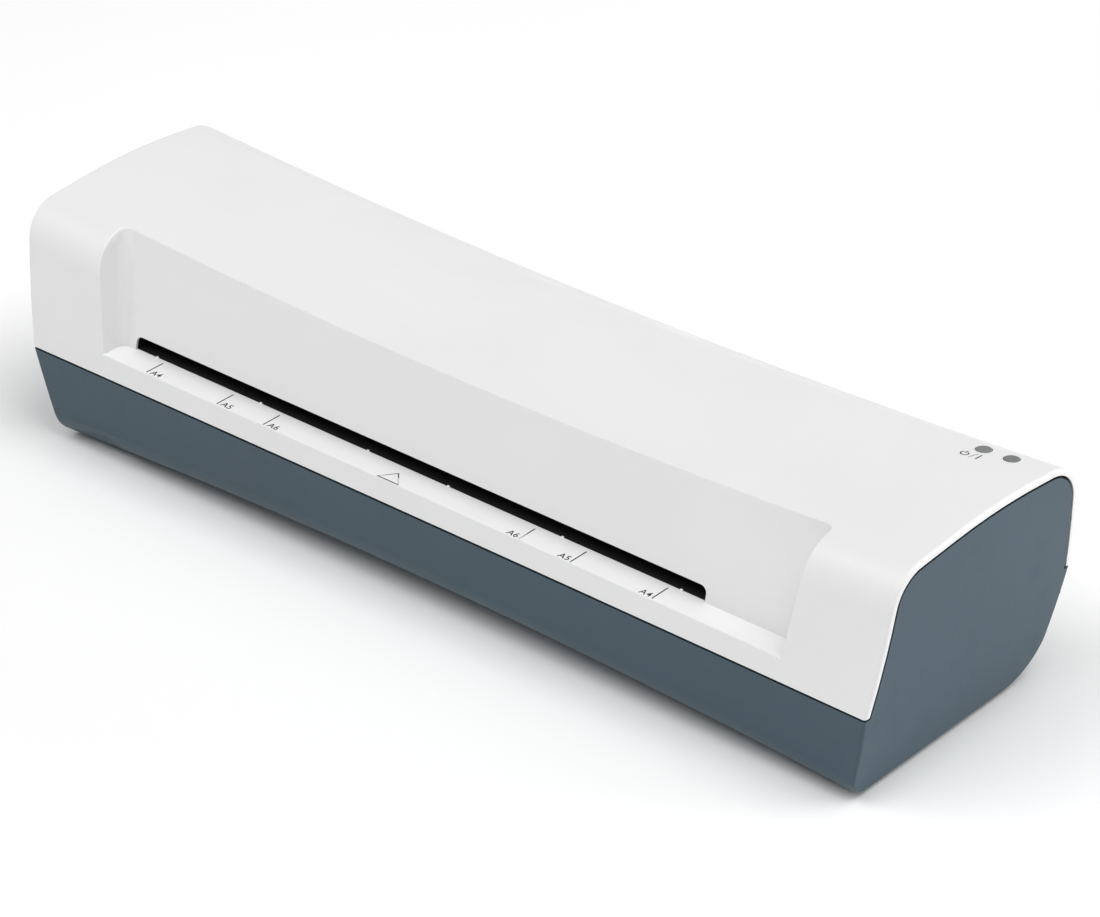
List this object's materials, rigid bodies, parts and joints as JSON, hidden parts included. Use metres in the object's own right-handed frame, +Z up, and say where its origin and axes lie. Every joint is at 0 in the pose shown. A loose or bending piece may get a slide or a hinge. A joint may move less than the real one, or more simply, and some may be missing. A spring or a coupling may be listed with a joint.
{
  "type": "pouch laminator",
  "caption": "Desktop pouch laminator with a waisted white cover, feed shelf and slot, dark base, heated plates and geared silicone rollers.",
  "frame": {"origin": "floor level under the middle of the body", "axes": "+X along the length to the drive side, -Y the feed side, +Z up"},
  "size_m": [0.3682, 0.105, 0.0881],
  "materials": {
    "cover_white": "fine satin white moulding",
    "base_grey": "fine-textured blue-grey moulding",
    "guide_black": "matt black",
    "button_grey": "mid grey",
    "lamp_grey": "smoked translucent grey",
    "frame_steel": "galvanised sheet",
    "shaft_steel": "turned steel",
    "screw_steel": "zinc plated",
    "roller_silicone": "smooth silicone",
    "foot_rubber": "soft black rubber",
    "gear_nylon": "natural nylon",
    "bush_polymer": "bearing polymer",
    "heater_aluminium": "extruded",
    "element_mica": "insulated foil",
    "holder_phenolic": "brown phenolic",
    "fuse_ceramic": "white insulator",
    "motor_case": "zinc plated can",
    "board_green": "solder mask",
    "part_black": "moulded component",
    "led_clear": "clear lens"
  },
  "bodies": {
    "chassis": {"base_housing": "base_grey", "board_screws": "screw_steel", "capacitor": "part_black", "control_board": "board_green", "cord_gland": "foot_rubber", "entry_guide": "guide_black", "exit_guide": "guide_black", "frame_screws": "screw_steel", "front_left_foot": "foot_rubber", "front_right_foot": "foot_rubber", "front_tie_rod": "shaft_steel", "gear_motor": "motor_case", "gear_plate": "frame_steel", "gear_plate_screws": "screw_steel", "gear_plate_spacers": "shaft_steel", "housing_screws": "screw_steel", "idler_axle": "shaft_steel", "left_heater_holder": "holder_phenolic", "left_pressure_spring": "screw_steel", "left_side_frame": "frame_steel", "lower_heater_plate": "heater_aluminium", "lower_heating_element": "element_mica", "lower_left_bush": "bush_polymer", "lower_right_bush": "bush_polymer", "motor_screws": "screw_steel", "power_board": "board_green", "rear_left_foot": "foot_rubber", "rear_right_foot": "foot_rubber", "rear_tie_rod": "shaft_steel", "relay": "part_black", "right_heater_holder": "holder_phenolic", "right_pressure_spring": "screw_steel", "right_side_frame": "frame_steel", "status_led": "led_clear", "status_light_pipe": "lamp_grey", "switch_body": "part_black", "terminal_block": "fuse_ceramic", "thermal_fuse": "fuse_ceramic", "thermostat": "holder_phenolic", "tie_rod_screws": "screw_steel", "top_cover": "cover_white", "transformer": "part_black", "upper_heater_plate": "heater_aluminium", "upper_heating_element": "element_mica", "upper_tie_rod": "shaft_steel"},
    "upper_carriage": {"upper_left_bush": "bush_polymer", "upper_right_bush": "bush_polymer"},
    "upper_roller": {"upper_roller_shaft": "shaft_steel", "upper_roller_sleeve": "roller_silicone", "upper_roller_clips": "screw_steel", "upper_roller_gear": "gear_nylon"},
    "lower_roller": {"lower_roller_shaft": "shaft_steel", "lower_roller_sleeve": "roller_silicone", "lower_roller_clips": "screw_steel", "lower_roller_gear": "gear_nylon"},
    "idler": {"idler_gear": "gear_nylon"},
    "motor_drive": {"motor_pinion": "gear_nylon", "motor_shaft": "shaft_steel"},
    "button": {"power_button": "button_grey", "switch_plunger": "part_black"}
  },
  "joints": [
    {"name": "roller_lift", "type": "slide", "parent": "chassis", "child": "upper_carriage", "axis": [0, 0, 1], "range_m": [0, 0.0006], "stiffness_N_per_m": 3000, "springref_m": -0.004, "deforming": ["left_pressure_spring", "right_pressure_spring"]},
    {"name": "lower_roller_spin", "type": "hinge", "parent": "chassis", "child": "lower_roller", "pos_m": [0, 0.02, 0.03655], "axis": [1, 0, 0], "continuous": true},
    {"name": "upper_roller_spin", "type": "hinge", "parent": "upper_carriage", "child": "upper_roller", "pos_m": [0, 0.02, 0.05685], "axis": [1, 0, 0], "continuous": true},
    {"name": "idler_spin", "type": "hinge", "parent": "chassis", "child": "idler", "pos_m": [0, 0.00088, 0.02316], "axis": [1, 0, 0], "continuous": true},
    {"name": "motor_spin", "type": "hinge", "parent": "chassis", "child": "motor_drive", "pos_m": [0, -0.00572, 0.04128], "axis": [1, 0, 0], "continuous": true},
    {"name": "button_press", "type": "slide", "parent": "chassis", "child": "button", "axis": [0.0541, -0.0964, -0.9939], "range_m": [0, 0.0005], "stiffness_N_per_m": 1200, "springref_m": -0.001}
  ],
  "couplings": [
    {"joint": "upper_roller_spin", "follows": "lower_roller_spin", "ratio": -1},
    {"joint": "idler_spin", "follows": "lower_roller_spin", "ratio": -0.76923},
    {"joint": "motor_spin", "follows": "lower_roller_spin", "ratio": 1.6667}
  ]
}
